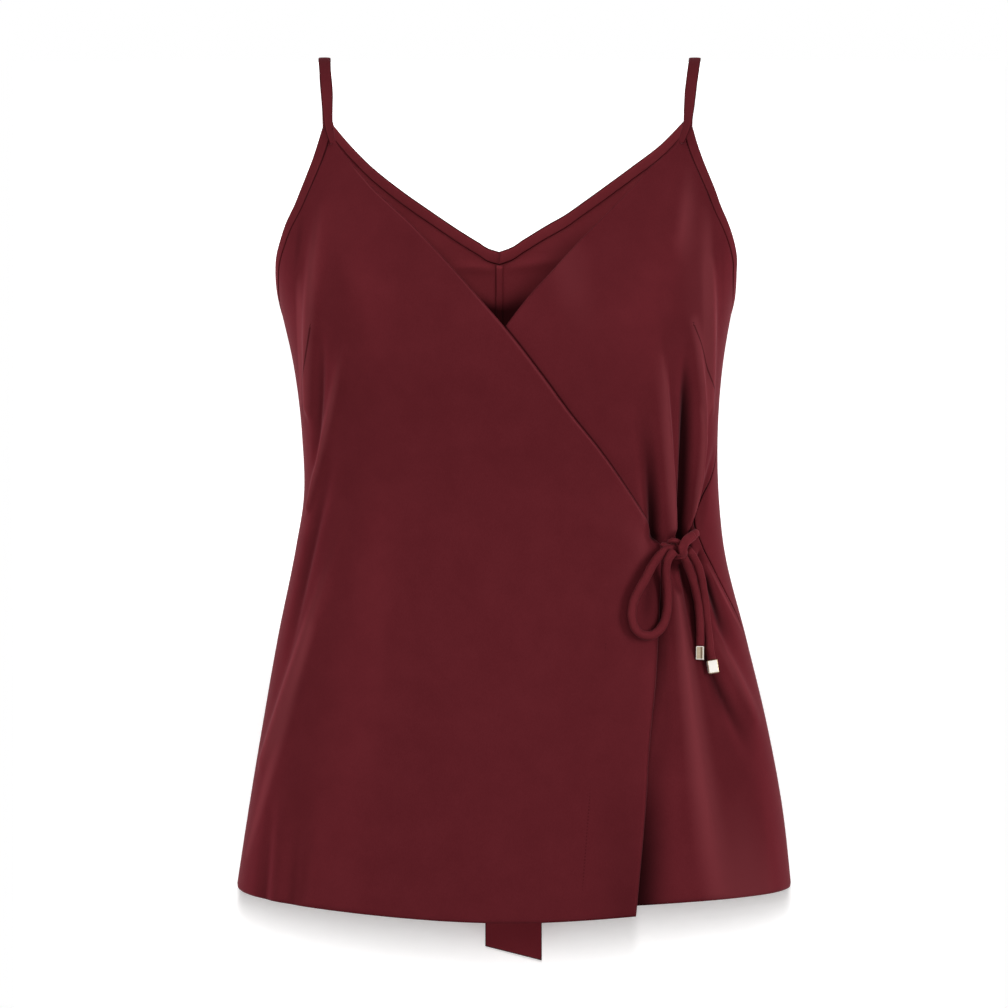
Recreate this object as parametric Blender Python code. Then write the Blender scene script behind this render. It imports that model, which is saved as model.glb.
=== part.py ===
"""Sleeveless wrap top in satin-back crepe, filled out as if worn, tied in a bow at the side.

The top hangs from its shoulder straps. The origin lies midway between the highest points of
the two straps, +Z up and the front towards -Y, so the wearer's right is at -X. Lengths in the
tables are millimetres; "drop" is the distance down from the top of the straps, and angles go
round the body in degrees from the centre front, positive towards the wearer's left.
"""
import math

import bmesh
import bpy
import numpy as np
from mathutils import Quaternion, Vector

MM = 0.001

# Driving dimensions, in millimetres.
WALL = 1.2            # a sewn panel
SEAM = 0.3            # between two pieces that are sewn together
LAP = 2.8             # from the under front's middle to the over front's middle, where they lap
SQUARENESS = 2.3      # exponent of the body sections: 2 is an ellipse
BINDING_WIDTH = 6.0
BINDING_WALL = 1.8
STRAP_WIDTH = 7.6
STRAP_WALL = 1.6
BAND_WIDTH = 9.8      # back neck facing, measured straight down
BAND_WALL = 1.0
TIE = 6.0             # diameter of the rouleau ties
SASH_WALL = 1.2
SASH_LIFT = 1.6       # from the back's middle to the sash's middle
CROSSING_LEAN = 3.5   # the under front's neck edge lies this much nearer its own side
TIP_WIDTH, TIP_DEPTH, TIP_HEIGHT = 8.0, 5.6, 10.4

# Body sections from the straps to below the hem: half-widths to the wearer's right and left,
# and depths to the front and to the back.
SECTION_COLUMNS = ("drop", "right", "left", "front", "back")
SECTIONS = (
    (0, 162, 162, 44, 40),
    (50, 173, 171, 83, 74),
    (100, 179, 177, 105, 92),
    (150, 178.5, 175.5, 121, 102),
    (190, 170, 166.5, 129, 106),
    (225, 162, 160.5, 127, 104),
    (285, 154.5, 156, 115, 96),
    (330, 153.5, 157, 107, 91),
    (365, 159, 160.5, 106, 92),
    (435, 173, 177.5, 112, 102),
    (495, 183.5, 192, 120, 110),
    (555, 193.5, 203.5, 127, 117),
    (640, 206.5, 213, 134, 123),
)

# Where the armhole binding is sewn on: the front's edge from the strap to the underarm, and
# the back's edge from the strap to the underarm.
UNDERARM_DROP = 184
FRONT_ARMHOLE = ((56, 64.2), (80, 64.8), (104, 66.2), (128, 69.6), (150, 74.2), (166, 79),
                 (178, 84.5), (184, 90))
BACK_ARMHOLE = ((50, 110.7), (76, 111.8), (104, 110.6), (130, 107.3), (152, 103.3), (168, 99),
                (179, 94.5), (184, 90))

# Neck edge and free edge of the over front, from the strap to its tied corner and on down.
NECK_EDGE = ((56, -129), (80, -108), (104, -87.5), (145, -51), (173, -28), (200, -6.5), (240, 23),
             (269, 45), (295, 66), (325, 87), (364, 110))
CORNER_DROP = 364
FREE_EDGE = ((364, 110), (385, 111), (431, 108.5), (484, 104.5), (537, 101), (589, 98), (635, 93.5))

# The wearer's left side seam is pulled forward to the tie; the right one hangs straight.
LEFT_SIDE_SEAM = ((184, 90), (240, 90), (280, 86), (296, 81.5), (312, 74.5), (330, 69.5), (347, 66.5),
                  (356, 67.3), (366, 70), (381, 74), (409, 80), (437, 87), (470, 90), (640, 90))
RIGHT_SIDE_SEAM = ((184, -90), (640, -90))

# Back neck edge, as a share of the way from the centre-back seam out to the strap. The seam
# hangs a little to the wearer's right of the middle.
BACK_NECK = ((50, 1), (66, 0.85), (83, 0.684), (101, 0.5), (119, 0.29), (128, 0.183), (137, 0.058),
             (140, 0))
BACK_NECK_DROP = 140
BACK_NECK_REACH = 132.2
CENTRE_BACK_X = -7.5

# Hem: how far it hangs below the straps at the sides, at the centre front and centre back.
HEM_SIDE, HEM_OVER, HEM_UNDER, HEM_BACK = 619, 638, 628, 626

# Rows of each panel: how many from one drop to the next. The wearer's left, where the tie
# gathers the cloth, has more.
FRONT_TOP_ROWS = ((56, 184, 11),)
BACK_TOP_ROWS = ((50, 140, 8), (140, 184, 4))
RIGHT_ROWS = ((184, 364, 12), (364, 619, 13))
LEFT_ROWS = ((184, 285, 7), (285, 364, 11), (364, 440, 7), (440, 619, 9))

# The gathered side's columns run along its folds, so that each one stays sharp: distances
# across from the centre at some drops, and the number of columns from one line to the next.
GATHER_COLUMNS = ("drop", "edge", "crest", "valley", "ridge")
GATHER = (
    (184, 62, 108, 124, 145),
    (222, 66, 113, 127.5, 145),
    (285, 84, 118, 129.7, 143),
    (330, 92, 121.5, 128.2, 137),
    (357, 98, 122, 126.5, 131),
    (382, 104, 121, 131, 141),
    (450, 104, 128, 146, 161),
    (520, 98, 140, 163, 182),
    (640, 88, 144, 170, 193),
)
GATHER_COUNTS = (9, 6, 4, 4, 3)

# Folds that the tie, the darts and the flare throw in the cloth. Each runs from one place to
# another, given by the distance across from the centre and the drop, bowed sideways in the
# middle; it stands out (or in, below zero) by its height at each end and half way.
FOLD_COLUMNS = ("face", "x0", "drop0", "x1", "drop1", "bow", "wide0", "wide1", "high0", "high_mid", "high1")
FOLDS = (
    # the left front above the knot, from the over front's edge to the side seam
    ("front", 90, 280, 100, 345, 0, 9, 6, 0.0, 1.0, 1.4),
    ("front", 106, 272, 108.5, 352, -2.5, 10, 6, 0.0, -1.8, -2.6),
    ("front", 112.5, 215, 122, 357, -2, 14, 4.5, 0.0, 2.0, 2.4),
    ("front", 127, 205, 126.5, 357, 3.2, 12, 4.5, 0.0, -4.5, -6.5),
    ("front", 145, 222, 131.5, 357, -4.5, 12, 4.5, 0.0, 2.4, 2.6),
    ("front", 153, 297, 134.5, 357, 1, 5, 4, 0.0, -1.6, -1.8),
    # the over front, pulled to its corner
    ("front", 20, 330, 96, 358, 4, 22, 12, 0.0, 0.8, 1.6),
    ("front", 10, 420, 96, 374, -6, 24, 12, 0.0, 0.7, 1.6),
    # below the knot the cloth fans out
    ("front", 121, 382, 141, 520, -3, 8, 20, 3.5, 2.6, 0.0),
    ("front", 132, 380, 160, 500, 0, 8, 22, -4.0, -2.6, 0.0),
    ("front", 142, 376, 178, 480, 0, 9, 20, 2.0, 1.6, 0.0),
    ("front", 114, 384, 120, 560, 3, 9, 24, -2.4, -1.2, 0.0),
    # right front: the soft ridge under the dart and the long fold down to the hem
    ("front", -126, 225, -141, 300, 0, 16, 14, 0.0, 1.6, 0.0),
    ("front", -137, 375, -182, 560, 4, 16, 26, 0.0, 2.6, 1.0),
    ("front", -184, 560, -188, 655, 0, 15, 15, 0.0, 1.6, 2.4),
    ("front", -171, 545, -170, 655, 0, 12, 14, 0.0, -1.2, -2.4),
    ("front", -150, 560, -150, 655, 0, 15, 18, 0.0, 1.0, 2.0),
    ("front", 186, 540, 192, 655, 0, 16, 20, 0.0, 1.2, 2.2),
    ("front", 160, 560, 164, 655, 0, 18, 20, 0.0, -1.0, -2.0),
    # the back: two drag folds from the tie and soft flutes at the hem
    ("back", 150, 352, 70, 300, 6, 9, 24, 1.8, 1.4, 0.0),
    ("back", 150, 372, 60, 430, -6, 9, 26, -1.8, -1.4, 0.0),
    ("back", -120, 420, -135, 655, 0, 18, 26, 0.0, 2.0, 3.0),
    ("back", -75, 440, -82, 655, 0, 18, 26, 0.0, -1.8, -3.0),
    ("back", 75, 430, 84, 655, 0, 18, 26, 0.0, 2.0, 3.0),
    ("back", 125, 440, 140, 655, 0, 18, 26, 0.0, -1.8, -3.0),
)

# The bow, as routes of (x, y, z): the ties run from the seam and the corner to the knot.
KNOT_CENTRE = (125.2, -89.5, -366)
KNOT_SIZE = (15, 14, 13)
TIE_SIDE_ROUTE = ((140.5, -64, -355.2), (138, -71, -357), (134.3, -78.5, -360), (130.1, -84.9, -362.7))
TIE_FRONT_ROUTE = ((112.4, -90.3, -364.8), (114.7, -89.7, -365.4), (117.05, -89.1, -366))
LOOP_ROUTE = ((119.5, -95, -367.5), (112.5, -99, -373), (106, -101, -381), (100, -103.5, -388),
              (95.5, -105, -395.5), (92, -106, -402.5), (90, -107, -410), (90, -108, -418.5),
              (92.5, -108, -425.5), (97.5, -106.5, -429.5), (103.5, -104, -430), (109.5, -100, -426.5),
              (114, -95.5, -420), (116.5, -93, -412), (117.3, -92, -403.5), (116.7, -91, -394),
              (117, -91, -385), (118.5, -91.5, -378), (121, -91, -372.6))
TAIL_1_ROUTE = ((128.1, -87.1, -372.6), (131.5, -80.5, -380), (135.5, -76.5, -391), (138.5, -75.5, -404),
                (140, -78, -417), (140.5, -81.5, -427), (140.3, -85, -436.5))
TAIL_2_ROUTE = ((132.1, -85.6, -368.4), (137.5, -78.5, -374.5), (141.8, -75.5, -383), (144.5, -74, -395),
                (146.2, -73.5, -407), (147, -75, -419.5), (147.5, -78, -431), (147.8, -80, -438.5),
                (149.3, -82.3, -446.5))
TIP_1_TURN, TIP_2_TURN = 84, 6   # degrees round the cord, from facing the front

SASH_CENTRE_X = 3.6
SASH_WIDTH = 43.5
SASH_TOP_DROP = 322
SASH_SHORT_DROP, SASH_LONG_DROP = 676, 687


def smooth(table, at, column=1):
    """Read a column of a table at some distances, on a smooth curve through its rows."""
    rows = np.array(table, float)
    knots, values = rows[:, 0], rows[:, column]
    slopes = np.gradient(values, knots)
    at = np.clip(np.asarray(at, float), knots[0], knots[-1])
    i = np.clip(np.searchsorted(knots, at, side="right") - 1, 0, len(knots) - 2)
    span = knots[i + 1] - knots[i]
    t = (at - knots[i]) / span
    return ((2 * t**3 - 3 * t**2 + 1) * values[i] + (t**3 - 2 * t**2 + t) * span * slopes[i]
            + (3 * t**2 - 2 * t**3) * values[i + 1] + (t**3 - t**2) * span * slopes[i + 1])


def ramp(low, high, at):
    """0 below low, 1 above high, eased between."""
    t = np.clip((np.asarray(at, float) - low) / (high - low), 0, 1)
    return t * t * (3 - 2 * t)


def section(name, drop):
    return smooth(SECTIONS, drop, SECTION_COLUMNS.index(name))


def body(angle, drop):
    """Points of the plain body surface, before folds, as an array of (x, y, z)."""
    angle, drop = np.broadcast_arrays(np.radians(angle), np.asarray(drop, float))
    across, along = np.sin(angle), np.cos(angle)
    half = np.where(across < 0, section("right", drop), section("left", drop))
    depth = np.where(along > 0, section("front", drop), section("back", drop))
    reach = (np.abs(across / half)**SQUARENESS + np.abs(along / depth)**SQUARENESS)**(-1 / SQUARENESS)
    return np.stack((reach * across, -reach * along, -drop), axis=-1)


def outward(angle, drop):
    """Unit normals of the plain body surface."""
    turn = body(np.asarray(angle) + 0.5, drop) - body(np.asarray(angle) - 0.5, drop)
    fall = body(angle, np.asarray(drop) + 1) - body(angle, np.asarray(drop) - 1)
    normal = np.cross(fall, turn)
    return normal / np.linalg.norm(normal, axis=-1, keepdims=True)


def angle_at(x, drop, face="front"):
    """The angle at which a section reaches this distance across, on the front or the back."""
    x, drop = np.broadcast_arrays(np.asarray(x, float), np.asarray(drop, float))
    half = np.where(x < 0, section("right", drop), section("left", drop))
    depth = section(face, drop) * (1 if face == "front" else -1)
    along = depth * np.clip(1 - np.abs(x / half)**SQUARENESS, 0, 1)**(1 / SQUARENESS)
    return np.degrees(np.arctan2(x, along))


def fold_path(fold, steps=10):
    """Points along a fold on the plain body, and how far along each one lies."""
    t = np.linspace(0, 1, steps)
    across, down = fold["x1"] - fold["x0"], fold["drop1"] - fold["drop0"]
    length = math.hypot(across, down)
    bow = fold["bow"] * 4 * t * (1 - t)
    x = fold["x0"] + across * t + bow * down / length
    drop = fold["drop0"] + down * t - bow * across / length
    return body(angle_at(x, drop, fold["face"]), drop), t


def folds_at(points):
    """How far the folds lift the cloth at these points of the plain body."""
    lift = np.zeros(points.shape[:-1])
    for row in FOLDS:
        fold = dict(zip(FOLD_COLUMNS, row))
        path, along = fold_path(fold)
        nearest = np.full(lift.shape, 1e9)
        where = np.zeros(lift.shape)
        for a, b, t0, t1 in zip(path[:-1], path[1:], along[:-1], along[1:]):
            run = b - a
            share = np.clip(((points - a) @ run) / (run @ run), 0, 1)
            distance = np.linalg.norm(points - a - share[..., None] * run, axis=-1)
            closer = distance < nearest
            nearest = np.where(closer, distance, nearest)
            where = np.where(closer, t0 + share * (t1 - t0), where)
        wide = fold["wide0"] + (fold["wide1"] - fold["wide0"]) * where
        first, middle, last = fold["high0"], fold["high_mid"], fold["high1"]
        high = (first * (1 - where) * (1 - 2 * where) + 4 * middle * where * (1 - where)
                + last * where * (2 * where - 1))
        lift += high * np.exp(-(nearest / wide)**2)
    return lift


def cloth(angle, drop, out=0.0):
    """Points of the cloth, folds and all, moved out by a distance."""
    plain = body(angle, drop)
    return plain + outward(angle, drop) * (folds_at(plain) + out)[..., None]


def finish(name, colour, roughness, metallic=0.0):
    made = bpy.data.materials.new(name)
    made.use_nodes = True
    shader = made.node_tree.nodes["Principled BSDF"]
    shader.inputs["Base Color"].default_value = (*colour, 1)
    shader.inputs["Roughness"].default_value = roughness
    shader.inputs["Metallic"].default_value = metallic
    return made


def add(name, mesh, material):
    mesh.materials.append(material)
    made = bpy.data.objects.new(name, mesh)
    bpy.context.scene.collection.objects.link(made)
    return made


def sheet(name, points, wall, material, flip=False):
    """A panel of cloth: a grid laid on rows of points and given its wall."""
    rows, columns = points.shape[:2]
    shape = bmesh.new()
    bmesh.ops.create_grid(shape, x_segments=columns - 1, y_segments=rows - 1, size=0.5)
    shape.verts.ensure_lookup_table()
    for vertex in shape.verts:
        column = round((vertex.co.x + 0.5) * (columns - 1))
        row = round((0.5 - vertex.co.y) * (rows - 1))
        vertex.co = Vector(points[row, column] * MM)
    if flip:
        bmesh.ops.reverse_faces(shape, faces=shape.faces)
    mesh = bpy.data.meshes.new(name)
    shape.to_mesh(mesh)
    shape.free()
    mesh.shade_smooth()
    made = add(name, mesh, material)
    thickness = made.modifiers.new("Wall", "SOLIDIFY")
    thickness.thickness = wall * MM
    thickness.offset = 0
    return made


def ribbon(name, centres, across, up, width, wall, material):
    """A narrow folded strip with rounded edges, swept through stations."""
    outline = ((-0.5, 0.0), (-0.36, 0.5), (0.36, 0.5), (0.5, 0.0), (0.36, -0.5), (-0.36, -0.5))
    shape = bmesh.new()
    rings = []
    for centre, side, top in zip(centres, across, up):
        ring = [centre + side * u * width + top * v * wall for u, v in outline]
        rings.append([shape.verts.new(point * MM) for point in ring])
    for ring, following in zip(rings[:-1], rings[1:]):
        for i in range(len(outline)):
            j = (i + 1) % len(outline)
            shape.faces.new((ring[i], ring[j], following[j], following[i]))
    shape.faces.new(rings[0][::-1])
    shape.faces.new(rings[-1])
    bmesh.ops.recalc_face_normals(shape, faces=shape.faces)
    mesh = bpy.data.meshes.new(name)
    shape.to_mesh(mesh)
    shape.free()
    mesh.shade_smooth()
    return add(name, mesh, material)


def rows_of(plan):
    """The drops of a panel's rows."""
    drops = [np.linspace(top, bottom, count, endpoint=False) for top, bottom, count in plan]
    return np.concatenate(drops + [[plan[-1][1]]])


def hem_drop(drop, angle, lowest):
    """Let the rows below the waist sag towards the hem's own curve."""
    sag = (lowest - HEM_SIDE) * np.abs(np.cos(np.radians(angle)))**1.2
    return drop + sag * ramp(CORNER_DROP, HEM_SIDE, drop)


def front_edge(drop):
    """Distance across from the centre of the over front's neck edge and free edge."""
    return np.where(drop < CORNER_DROP, smooth(NECK_EDGE, drop), smooth(FREE_EDGE, drop))


def side_edge(drop, armhole, seam, side):
    """Angle of a panel's outer edge: its armhole down to the underarm, then the side seam."""
    return np.where(drop < UNDERARM_DROP, side * smooth(armhole, drop), smooth(seam, drop))


def seam_gap(drop):
    """Half the gap of a seam, as an angle."""
    return np.degrees(0.5 * SEAM / section("front", drop))


def over_front(fabric):
    """Wearer's right front: outermost, from the right side seam across to the tie."""
    drop = rows_of(FRONT_TOP_ROWS + RIGHT_ROWS)
    outer = side_edge(drop, FRONT_ARMHOLE, RIGHT_SIDE_SEAM, -1) + seam_gap(drop)
    inner = angle_at(front_edge(drop), drop)
    share = np.linspace(0, 1, 23)**0.92
    angle = outer[:, None] + (inner - outer)[:, None] * share
    drop = hem_drop(drop[:, None], angle, HEM_OVER)
    lift = LAP * ramp(-90, -70, angle)
    return sheet("front_over", cloth(angle, drop, lift), WALL, fabric)


def under_front(fabric):
    """Wearer's left front: its free edge is the over front's, mirrored, out of sight."""
    drop = rows_of(FRONT_TOP_ROWS + LEFT_ROWS)
    outer = side_edge(drop, FRONT_ARMHOLE, LEFT_SIDE_SEAM, 1) - seam_gap(drop)
    lean = CROSSING_LEAN * ramp(56, 90, drop)
    inner = angle_at(-front_edge(drop) - lean, drop)
    lines = [angle_at(smooth(GATHER, drop, k), drop) for k in range(1, len(GATHER_COLUMNS))]
    lines = np.stack([inner] + lines + [outer], axis=1)
    stations = np.concatenate(([0], np.cumsum(GATHER_COUNTS)))
    columns = np.arange(stations[-1] + 1)
    guided = np.stack([np.interp(columns, stations, row) for row in lines])
    even = inner[:, None] + (outer - inner)[:, None] * columns / columns[-1]
    angle = even + ramp(150, 250, drop)[:, None] * (guided - even)
    drop = hem_drop(drop[:, None], angle, HEM_UNDER)
    return sheet("front_under", cloth(angle, drop), WALL, fabric)


def back_edge(drop, side):
    """Distance across of the back neck edge, and below it of the centre-back seam."""
    share = np.where(drop < BACK_NECK_DROP, smooth(BACK_NECK, drop), 0)
    seam = CENTRE_BACK_X + side * 0.5 * SEAM
    return seam + share * (side * BACK_NECK_REACH - seam)


def back(name, side, seam, rows, fabric):
    """Half of the back, from the centre-back seam to its side seam."""
    drop = rows_of(BACK_TOP_ROWS + rows)
    inner = angle_at(back_edge(drop, side), drop, "back") % (side * 360)
    outer = side_edge(drop, BACK_ARMHOLE, seam, side) + side * seam_gap(drop)
    angle = outer[:, None] + (inner - outer)[:, None] * np.linspace(0, 1, 15)
    drop = hem_drop(drop[:, None], angle, HEM_BACK)
    return sheet(name, cloth(angle, drop), WALL, fabric, flip=side < 0)


def neck_band(name, side, fabric):
    """Facing turned to the inside of the back along the neck edge, mitred at the centre."""
    drop = rows_of(((52, BACK_NECK_DROP - 1, 10),))
    x = back_edge(drop, side)
    drop = drop[:, None] + BAND_WIDTH * np.linspace(0, 1, 3)
    angle = angle_at(np.broadcast_to(x[:, None], drop.shape), drop, "back")
    inside = -(WALL / 2 + SEAM + BAND_WALL / 2 + 0.3)
    return sheet(name, cloth(angle, drop, inside), BAND_WALL, fabric, flip=side > 0)


def binding(name, side, fabric):
    """Folded strip round an armhole, sewn to the edges of the front and the back."""
    front = rows_of(FRONT_TOP_ROWS)
    rear = rows_of(BACK_TOP_ROWS)[:-1][::-1]
    drop = np.concatenate((front, rear))
    angle = side * np.concatenate((smooth(FRONT_ARMHOLE, front), smooth(BACK_ARMHOLE, rear)))
    edge = cloth(angle, drop)
    along = np.gradient(edge, axis=0)
    along /= np.linalg.norm(along, axis=1, keepdims=True)
    up = outward(angle, drop)
    inward = side * np.cross(up, along)
    inward /= np.linalg.norm(inward, axis=1, keepdims=True)
    centres = edge + inward * (BINDING_WIDTH / 2 + SEAM)
    return ribbon(name, centres, inward, up, BINDING_WIDTH, BINDING_WALL, fabric)


def curve_through(points, step):
    """Evenly spaced points of a smooth curve through a route's own points."""
    points = np.array(points, float)
    knots = np.concatenate(([0], np.cumsum(np.linalg.norm(np.diff(points, axis=0), axis=1))))
    at = np.linspace(0, knots[-1], max(3, round(knots[-1] / step) + 1))
    return np.stack([smooth(np.column_stack((knots, points[:, k])), at) for k in range(3)], axis=1)


def strap(name, side, fabric):
    """Narrow strap over the shoulder, from the front's peak to the back's."""
    route = ((134.2, -58.5, -54), (135.4, -50, -34), (136.8, -36, -13.5), (137.8, -19, -3),
             (138.2, 0, -0.8), (138.6, 19, -4.5), (138.8, 34, -16), (138.2, 45, -31), (136.2, 51.5, -49))
    centres = curve_through([(side * x, y, z) for x, y, z in route], 9)
    along = np.gradient(centres, axis=0)
    along /= np.linalg.norm(along, axis=1, keepdims=True)
    lean = np.radians(np.interp(centres[:, 1], (-58, -20, 20, 50), (-28, -4, 4, 30))) * side
    across = np.stack((np.cos(lean), np.sin(-lean) * -1, np.zeros(len(lean))), axis=1)
    across -= along * np.sum(across * along, axis=1, keepdims=True)
    across /= np.linalg.norm(across, axis=1, keepdims=True)
    up = np.cross(across, along)
    return ribbon(name, centres, across, up, STRAP_WIDTH, STRAP_WALL, fabric)


def tie(name, route, fabric):
    """A length of round rouleau cord along its route, with capped ends."""
    points = curve_through(route, TIE)
    path = bpy.data.curves.new(name, "CURVE")
    path.dimensions = "3D"
    path.bevel_depth = 0.5 * TIE * MM
    path.bevel_resolution = 2
    path.use_fill_caps = True
    spline = path.splines.new("POLY")
    spline.points.add(len(points) - 1)
    for target, point in zip(spline.points, points):
        target.co = (*(point * MM), 1)
    path.materials.append(fabric)
    made = bpy.data.objects.new(name, path)
    bpy.context.scene.collection.objects.link(made)
    return made


def knot(fabric):
    """The bow's knot, a rounded lump of wrapped cord."""
    shape = bmesh.new()
    bmesh.ops.create_uvsphere(shape, u_segments=16, v_segments=10, radius=0.5)
    bmesh.ops.scale(shape, vec=Vector(KNOT_SIZE) * MM, verts=shape.verts)
    bmesh.ops.translate(shape, vec=Vector(KNOT_CENTRE) * MM, verts=shape.verts)
    mesh = bpy.data.meshes.new("knot")
    shape.to_mesh(mesh)
    shape.free()
    mesh.shade_smooth()
    return add("knot", mesh, fabric)


def tip(name, route, turn, metal):
    """Square metal cord end under the last point of a tail, in line with the cord."""
    shape = bmesh.new()
    bmesh.ops.create_cube(shape, size=1)
    bmesh.ops.scale(shape, vec=Vector((TIP_WIDTH, TIP_DEPTH, TIP_HEIGHT)) * MM, verts=shape.verts)
    bmesh.ops.bevel(shape, geom=shape.edges[:], offset=0.7 * MM, segments=1, affect="EDGES",
                    profile=0.5, material=-1)
    mesh = bpy.data.meshes.new(name)
    shape.to_mesh(mesh)
    shape.free()
    made = add(name, mesh, metal)
    end = Vector(route[-1])
    down = (end - Vector(route[-2])).normalized()
    made.location = (end + down * (TIP_HEIGHT / 2 + SEAM)) * MM
    upright = Vector((0, 0, -1)).rotation_difference(down)
    made.rotation_mode = "QUATERNION"
    made.rotation_quaternion = upright @ Quaternion((0, 0, 1), math.radians(turn))
    return made


def sash(fabric):
    """One flat tail sewn to the centre-back seam at the waist, its end cut on a slant."""
    share = np.linspace(0, 1, 22)[:, None]
    across = np.linspace(-0.5, 0.5, 5)[None, :]
    x = SASH_CENTRE_X + SASH_WIDTH * across
    end = SASH_SHORT_DROP + (SASH_LONG_DROP - SASH_SHORT_DROP) * (across + 0.5)
    drop = SASH_TOP_DROP + (end - SASH_TOP_DROP) * share
    angle = angle_at(np.broadcast_to(x, drop.shape), drop, "back")
    lift = SASH_LIFT + 1.2 * ramp(SASH_TOP_DROP, HEM_SIDE, drop)
    return sheet("sash", cloth(angle, drop, lift), SASH_WALL, fabric, flip=True)


for old in list(bpy.data.objects):
    bpy.data.objects.remove(old, do_unlink=True)

WINE, WINE_DEEP = (0.112, 0.0135, 0.0195), (0.092, 0.011, 0.016)
crepe = finish("wine crepe", WINE, 0.5)
crepe_back = finish("wine crepe, back", WINE, 0.55)
trim = finish("wine crepe trim", WINE_DEEP, 0.5)
rouleau = finish("wine rouleau", WINE_DEEP, 0.48)
gilt = finish("pale gold metal", (0.80, 0.66, 0.45), 0.18, 1.0)

over_front(crepe)
under_front(crepe)
back("back_right", -1, RIGHT_SIDE_SEAM, RIGHT_ROWS, crepe_back)
back("back_left", 1, LEFT_SIDE_SEAM, LEFT_ROWS, crepe_back)
for name, side in (("right", -1), ("left", 1)):
    neck_band("neck_band_" + name, side, trim)
    binding("binding_" + name, side, trim)
    strap("strap_" + name, side, trim)
tie("tie_side", TIE_SIDE_ROUTE, rouleau)
tie("tie_front", TIE_FRONT_ROUTE, rouleau)
knot(rouleau)
tie("loop", LOOP_ROUTE, rouleau)
tie("tail_1", TAIL_1_ROUTE, rouleau)
tie("tail_2", TAIL_2_ROUTE, rouleau)
tip("tip_1", TAIL_1_ROUTE, TIP_1_TURN, gilt)
tip("tip_2", TAIL_2_ROUTE, TIP_2_TURN, gilt)
sash(crepe)
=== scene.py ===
"""Sleeveless wrap top in wine satin-back crepe, filled out as if worn and tied at the side."""

import math

import bmesh
import bpy
import numpy as np
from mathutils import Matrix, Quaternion, Vector


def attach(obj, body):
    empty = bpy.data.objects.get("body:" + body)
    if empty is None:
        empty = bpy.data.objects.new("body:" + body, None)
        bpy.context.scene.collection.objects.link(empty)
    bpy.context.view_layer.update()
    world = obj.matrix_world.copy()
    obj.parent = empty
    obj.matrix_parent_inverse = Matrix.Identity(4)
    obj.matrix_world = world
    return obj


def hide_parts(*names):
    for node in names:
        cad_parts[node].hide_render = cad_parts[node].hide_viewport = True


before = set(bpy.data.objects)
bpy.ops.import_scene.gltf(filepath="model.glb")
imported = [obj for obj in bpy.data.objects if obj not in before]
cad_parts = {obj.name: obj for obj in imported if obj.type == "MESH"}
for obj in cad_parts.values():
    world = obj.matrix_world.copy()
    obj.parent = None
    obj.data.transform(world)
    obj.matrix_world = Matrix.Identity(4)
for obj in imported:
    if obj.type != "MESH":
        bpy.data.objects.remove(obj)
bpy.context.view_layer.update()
scene = bpy.context.scene
MM = 0.001
EYE_DROP = 334                    # the camera's height, in millimetres below the shoulders


# ---- The studio --------------------------------------------------------------------------
# The top hangs in front of a white card that catches its soft shadow under the hem. A tall soft
# light stands at each side with a narrow one behind it, a broad one above and a wide one in
# front; a low strip lights the card alone.
class Value:
    """A socket that makes a number, colour or vector; arithmetic on it adds the nodes."""

    def __init__(self, finish, socket):
        self.finish, self.socket = finish, socket

    def maths(self, operation, *others):
        return self.finish.node("ShaderNodeMath", {"operation": operation},
                                dict(enumerate((self, *others))))

    def __add__(self, other):
        return self.maths("ADD", other)

    def __sub__(self, other):
        return self.maths("SUBTRACT", other)

    def __rsub__(self, other):
        return self * -1 + other

    def __mul__(self, other):
        return self.maths("MULTIPLY", other)

    def __abs__(self):
        return self.maths("ABSOLUTE")

    __radd__, __rmul__ = __add__, __mul__

    def most(self, other):
        return self.maths("MAXIMUM", other)

    def wave(self):
        return self.maths("SINE")

    def eased(self, low, high):
        """0 at low and 1 at high, eased between."""
        return self.finish.node("ShaderNodeMapRange", {"interpolation_type": "SMOOTHSTEP"},
                                {"Value": self, "From Min": low, "From Max": high})


class Finish:
    """The nodes of one material or of the world."""

    def __init__(self, owner):
        owner.use_nodes = True
        self.owner, self.tree = owner, owner.node_tree
        self.tree.nodes.clear()

    def node(self, kind, settings=None, inputs=None, output=0):
        made = self.tree.nodes.new(kind)
        for name, value in (settings or {}).items():
            setattr(made, name, value)
        for name, value in (inputs or {}).items():
            socket = made.inputs[name]
            if isinstance(value, Value):
                self.tree.links.new(value.socket, socket)
            else:
                socket.default_value = value
        return Value(self, made.outputs[output]) if made.outputs else None

    def mixed(self, share, colour, other):
        """A colour between two others, each a Value or three numbers."""
        inputs = {6: colour, 7: other}
        inputs = {slot: given if isinstance(given, Value) else (*given, 1)
                  for slot, given in inputs.items()}
        return self.node("ShaderNodeMix", {"data_type": "RGBA"}, {0: share, **inputs}, output=2)


def soft_light(name, place, target, width, height, power, card_only=False):
    """A rectangular softbox; the one for the card lights nothing else, the others spare it."""
    data = bpy.data.lights.new(name, "AREA")
    data.shape, data.size, data.size_y, data.energy = "RECTANGLE", width, height, power
    light = bpy.data.objects.new(name, data)
    light.location = place
    light.rotation_euler = (Vector(target) - Vector(place)).to_track_quat("-Z", "Y").to_euler()
    light.visible_camera = False
    scene.collection.objects.link(light)
    light.light_linking.receiver_collection = backdrops if card_only else spared


SEEN_WIDTH, CAMERA_DISTANCE = 0.756, 4.0
camera_data = bpy.data.cameras.new("camera")
camera_data.sensor_width = 36
camera_data.lens = 36 * CAMERA_DISTANCE / SEEN_WIDTH
camera = bpy.data.objects.new("camera", camera_data)
camera.location = (-0.00375, -CAMERA_DISTANCE, -EYE_DROP * MM)
camera.rotation_euler = (math.pi / 2, 0, 0)
scene.collection.objects.link(camera)
scene.camera = camera
scene.view_settings.view_transform = "Standard"

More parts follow.
